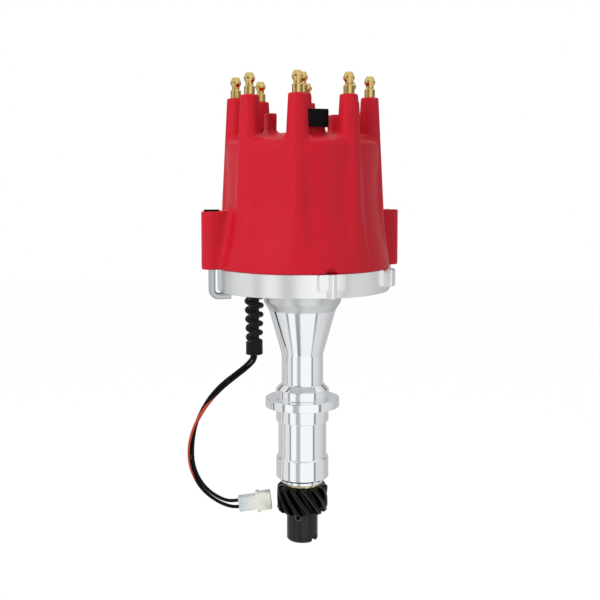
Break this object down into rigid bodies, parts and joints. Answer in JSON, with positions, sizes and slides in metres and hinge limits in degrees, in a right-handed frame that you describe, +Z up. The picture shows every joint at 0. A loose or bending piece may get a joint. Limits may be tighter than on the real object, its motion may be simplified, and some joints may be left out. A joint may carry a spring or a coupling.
{
  "type": "ignition distributor",
  "caption": "Ignition distributor with a turned aluminium housing, helical drive gear, tall red cap with brass stud towers, and a pickup lead with connector.",
  "frame": {"origin": "centre of the collar's underside, on the shaft axis, where the distributor seats on the engine", "axes": "+Z up along the shaft towards the cap, -Y towards the camera, +X to the right in the picture"},
  "size_m": [0.1323, 0.1079, 0.2912],
  "materials": {
    "machined_aluminium": "turned and polished billet",
    "bronze": "sintered bronze",
    "steel": "ground and plain steel",
    "zinc_plated_steel": "bright zinc plate",
    "black_oxide_steel": "blackened and oiled",
    "red_cap_plastic": "moulded, satin",
    "brass": "turned, bright",
    "black_plastic": "moulded, fine grain",
    "carbon": "pressed carbon",
    "black_rubber": "moulded, matt",
    "black_wire": "extruded vinyl insulation",
    "tracer_wire": "extruded vinyl insulation with an orange-red tracer",
    "natural_nylon": "unpigmented nylon, milky"
  },
  "bodies": {
    "housing": {"housing": "machined_aluminium", "lower_bush": "bronze", "upper_bush": "bronze", "bronze_thrust_washer": "bronze", "upper_thrust_washer": "steel", "pickup_plate": "steel", "pickup_coil": "black_plastic", "pickup_pole": "steel", "pickup_screws": "zinc_plated_steel", "pickup_leads": "black_wire", "distributor_cap": "red_cap_plastic", "plug_terminals": "brass", "coil_terminal": "brass", "carbon_brush": "carbon", "brush_spring": "steel", "roof_clip": "black_plastic", "strain_relief": "black_rubber", "wire_plain": "black_wire", "wire_tracer": "tracer_wire", "connector_shell": "natural_nylon", "connector_contacts": "brass"},
    "shaft": {"shaft": "steel", "drive_gear": "black_oxide_steel", "gear_roll_pin": "steel", "advance_cam": "steel"},
    "rotor_carrier": {"carrier_sleeve": "steel", "reluctor": "steel", "weight_plate": "steel", "weight_pins": "steel", "weight_clips": "zinc_plated_steel", "advance_spring_a": "steel", "advance_spring_b": "steel", "rotor_standoffs": "steel", "rotor": "black_plastic", "rotor_blade": "brass", "rotor_screws": "zinc_plated_steel"},
    "weight_a": {"weight_a": "steel"},
    "weight_b": {"weight_b": "steel"},
    "latch_left": {"latch_left": "zinc_plated_steel", "latch_spring_left": "steel"},
    "latch_right": {"latch_right": "zinc_plated_steel", "latch_spring_right": "steel"}
  },
  "joints": [
    {"name": "shaft_spin", "type": "hinge", "parent": "housing", "child": "shaft", "pos_m": [0, 0, 0], "axis": [0, 0, 1], "continuous": true},
    {"name": "advance", "type": "hinge", "parent": "shaft", "child": "rotor_carrier", "pos_m": [0, 0, 0], "axis": [0, 0, 1], "range_deg": [0, 10], "stiffness_Nm_per_rad": 0.5, "deforming": ["advance_spring_a", "advance_spring_b"]},
    {"name": "weight_a_swing", "type": "hinge", "parent": "rotor_carrier", "child": "weight_a", "pos_m": [0.01854, 0.00986, 0], "axis": [0, 0, -1], "range_deg": [0, 18]},
    {"name": "weight_b_swing", "type": "hinge", "parent": "rotor_carrier", "child": "weight_b", "pos_m": [-0.01854, -0.00986, 0], "axis": [0, 0, -1], "range_deg": [0, 18]},
    {"name": "latch_left_turn", "type": "hinge", "parent": "housing", "child": "latch_left", "pos_m": [-0.05428, -0.01806, 0], "axis": [0, 0, 1], "range_deg": [0, 120]},
    {"name": "latch_right_turn", "type": "hinge", "parent": "housing", "child": "latch_right", "pos_m": [0.05428, 0.01806, 0], "axis": [0, 0, 1], "range_deg": [0, 120]}
  ],
  "couplings": [
    {"joint": "weight_a_swing", "follows": "advance", "ratio": 1.8},
    {"joint": "weight_b_swing", "follows": "advance", "ratio": 1.8}
  ]
}
